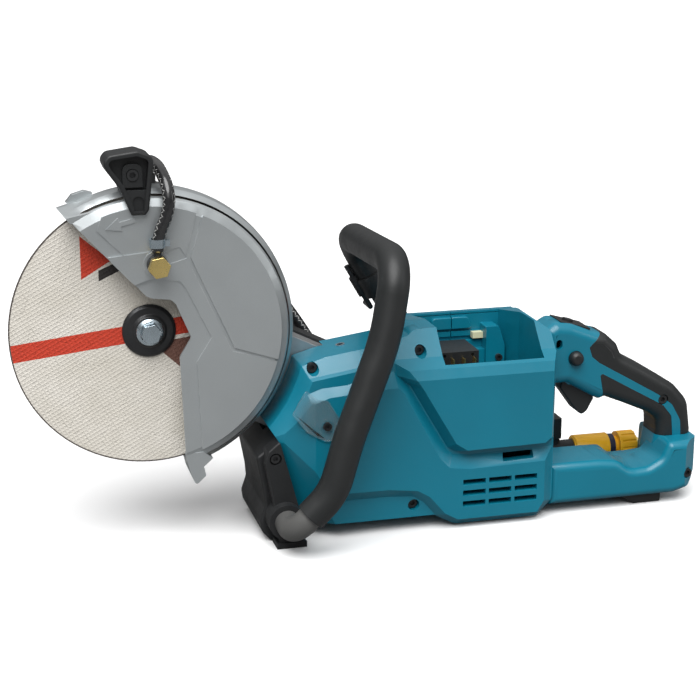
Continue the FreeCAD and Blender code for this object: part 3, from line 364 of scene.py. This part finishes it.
def soften(name, width):
    """Rounds a CAD node's sharp edges in the shown mesh only."""
    obj = NODES[name]
    weld = obj.modifiers.new("weld", "WELD")
    weld.merge_threshold = 0.00001
    flat = obj.modifiers.new("flat", "DECIMATE")
    flat.decimate_type = "DISSOLVE"
    flat.angle_limit = math.radians(1.0)
    bevel = obj.modifiers.new("bevel", "BEVEL")
    bevel.width = width * MM
    bevel.segments = 3
    bevel.limit_method = "ANGLE"
    bevel.angle_limit = math.radians(28)
    bevel.harden_normals = True
    bevel.use_clamp_overlap = True


def route_points(points):
    """The centreline of a smooth curve through a given route."""
    curve = bpy.data.curves.new("route", "CURVE")
    curve.dimensions = "3D"
    curve.resolution_u = 14
    spline = curve.splines.new("NURBS")
    spline.points.add(len(points) - 1)
    for spot, point in zip(spline.points, points):
        spot.co = (*point, 1.0)
    spline.order_u = 3
    spline.use_endpoint_u = True
    holder = bpy.data.objects.new("route", curve)
    bpy.context.scene.collection.objects.link(holder)
    line = bpy.data.meshes.new_from_object(holder)
    found = [v.co.copy() for v in line.vertices]
    bpy.data.objects.remove(holder)
    bpy.data.meshes.remove(line)
    return found


def tube(name, points, radius, sides=28):
    """Mesh tube along a route, its UV in metres along and turns around."""
    line = route_points(points)
    bm = bmesh.new()
    uv = bm.loops.layers.uv.new("UVMap")
    forward = (line[1] - line[0]).normalized()
    side = forward.orthogonal().normalized()
    rings, lengths = [], []
    travelled = 0.0
    for i, point in enumerate(line):
        ahead = (line[min(i + 1, len(line) - 1)] - line[max(i - 1, 0)]).normalized()
        side = (side - ahead * side.dot(ahead)).normalized()
        over = ahead.cross(side)
        if i:
            travelled += (point - line[i - 1]).length
        lengths.append(travelled)
        angles = [2 * math.pi * k / sides for k in range(sides)]
        rings.append([bm.verts.new(point + side * (radius * math.cos(a)) + over * (radius * math.sin(a)))
                      for a in angles])
    for i in range(len(rings) - 1):
        for k in range(sides):
            nxt = (k + 1) % sides
            face = bm.faces.new((rings[i][k], rings[i][nxt], rings[i + 1][nxt], rings[i + 1][k]))
            face.smooth = True
            corners = ((i, k), (i, k + 1), (i + 1, k + 1), (i + 1, k))
            for loop, (step, turn) in zip(face.loops, corners):
                loop[uv].uv = (lengths[step], turn / sides)
    bm.faces.new(list(reversed(rings[0])))
    bm.faces.new(rings[-1])
    mesh = bpy.data.meshes.new(name)
    bmesh.ops.recalc_face_normals(bm, faces=bm.faces)
    bm.to_mesh(mesh)
    bm.free()
    obj = bpy.data.objects.new(name, mesh)
    bpy.context.scene.collection.objects.link(obj)
    return obj


def make_hoses():
    """The three water hoses, braided, along the routes of their CAD solids."""
    near_y, tee_y, far_seat = -38.5, 26.0, 15.0
    near = [at(5, near_y, 72.5), at(6, near_y, 86), at(15, near_y, 104), at(16, near_y + 2, 122),
            at(12, -18, 136), at(11, 4, 137.5), at(8, tee_y - 1, 137), at(8, tee_y, 125)]
    far = [at(8, tee_y, 99), at(8, tee_y - 1, 93), at(6, far_seat + 5.5, 84), at(5, far_seat + 4.5, 72.5)]
    hoses = [tube("near_guard_hose", near, HOSE_R), tube("far_guard_hose", far, HOSE_R)]
    for hose in hoses:
        dress(hose, "hose_braid")
        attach(hose, "guard")
        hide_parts("guard_hoses")
    supply = [at(8, 39.1, 112), at(8, 58, 112), at(32, 68, 102), at(70, 71, 76), at(102, 71.5, 40),
              at(126, 71.5, 6), at(148, 71.5, -26), at(167, 71.5, -58), at(180, 71.5, -92),
              at(199, 71.5, -128), at(232, 71.5, -152), at(276, 71.5, -161), at(314, 71.5, -163),
              at(338, 62, -161), at(358, 52, -160)]
    hose = tube("supply_hose_braided", supply, HOSE_R)
    dress(hose, "hose_braid")
    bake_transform(hose)
    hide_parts("supply_hose")


# ---- camera, light, floor ----
def make_camera():
    flat = math.cos(CAMERA_LIFT)
    back = Vector((-math.sin(CAMERA_TURN) * flat, -math.cos(CAMERA_TURN) * flat, math.sin(CAMERA_LIFT)))
    data = bpy.data.cameras.new("camera")
    data.lens = CAMERA_LENS
    data.sensor_width = 36.0
    data.clip_start = 0.05
    camera = bpy.data.objects.new("camera", data)
    camera.location = SPINDLE + CAMERA_FROM_SPINDLE
    camera.rotation_euler = back.to_track_quat("Z", "Y").to_euler()
    bpy.context.scene.collection.objects.link(camera)
    bpy.context.scene.camera = camera


def area_light(name, place, aim, size, power, colour=(1.0, 1.0, 1.0)):
    data = bpy.data.lights.new(name, "AREA")
    data.shape = "RECTANGLE"
    data.size, data.size_y = size
    data.energy = power
    data.color = colour
    light = bpy.data.objects.new(name, data)
    light.location = place
    light.rotation_euler = (Vector(aim) - Vector(place)).to_track_quat("-Z", "Y").to_euler()
    bpy.context.scene.collection.objects.link(light)


def sky():
    """Soft studio dome: bright overhead, dim towards the horizon, so that glossy tops keep their colour."""
    world = bpy.data.worlds.new("studio")
    world.use_nodes = True
    tree = world.node_tree
    background = tree.nodes["Background"]
    split = tree.nodes.new("ShaderNodeSeparateXYZ")
    ramp = tree.nodes.new("ShaderNodeValToRGB")
    tree.links.new(tree.nodes.new("ShaderNodeTexCoord").outputs["Generated"], split.inputs[0])
    tree.links.new(split.outputs[2], ramp.inputs[0])
    tree.links.new(ramp.outputs[0], background.inputs["Color"])
    ramp.color_ramp.elements[0].position = 0.12
    ramp.color_ramp.elements[0].color = (0.09, 0.09, 0.09, 1.0)
    ramp.color_ramp.elements[1].position = 0.75
    ramp.color_ramp.elements[1].color = (0.62, 0.62, 0.62, 1.0)
    background.inputs["Strength"].default_value = 1.0
    bpy.context.scene.world = world


def make_studio():
    sky()
    bpy.context.scene.view_settings.view_transform = "Standard"
    target = (0.0, 0.0, 0.15)
    sun = bpy.data.lights.new("key", "SUN")
    sun.energy = 3.5
    sun.angle = math.radians(50)
    key = bpy.data.objects.new("key", sun)
    key.rotation_euler = Vector((-0.22, -0.55, 1.0)).to_track_quat("Z", "Y").to_euler()
    bpy.context.scene.collection.objects.link(key)
    area_light("front_soft", (-0.9, -2.2, 1.5), target, (1.6, 0.9), 5.0)
    area_light("side_strip", (1.9, -1.1, 0.9), target, (0.3, 1.2), 4.0)
    floor_mesh = bpy.data.meshes.new("floor")
    corners = [(FLOOR_REACH * sx, FLOOR_REACH * sy, 0) for sx, sy in ((-1, -1), (1, -1), (1, 1), (-1, 1))]
    floor_mesh.from_pydata(corners, [], [(0, 1, 2, 3)])
    floor = bpy.data.objects.new("floor", floor_mesh)
    paint = Surface("floor_paint", 1.0, Specular_IOR_Level=0.0)
    pale = paint.blend(paint.span(paint.noise(2.0), 0.3, 0.7), (0.955, 0.955, 0.955), (0.97, 0.97, 0.97))
    seen = paint.node("ShaderNodeLightPath").outputs["Is Camera Ray"]
    paint.colour(paint.blend(seen, (0.22, 0.22, 0.22), pale))
    floor.data.materials.append(paint.mat)
    floor.location.z = -0.0002
    bpy.context.scene.collection.objects.link(floor)


make_camera()
make_studio()
dress_frame()
for node_name, edge_width in SOFT_EDGES.items():
    soften(node_name, edge_width)
make_hoses()
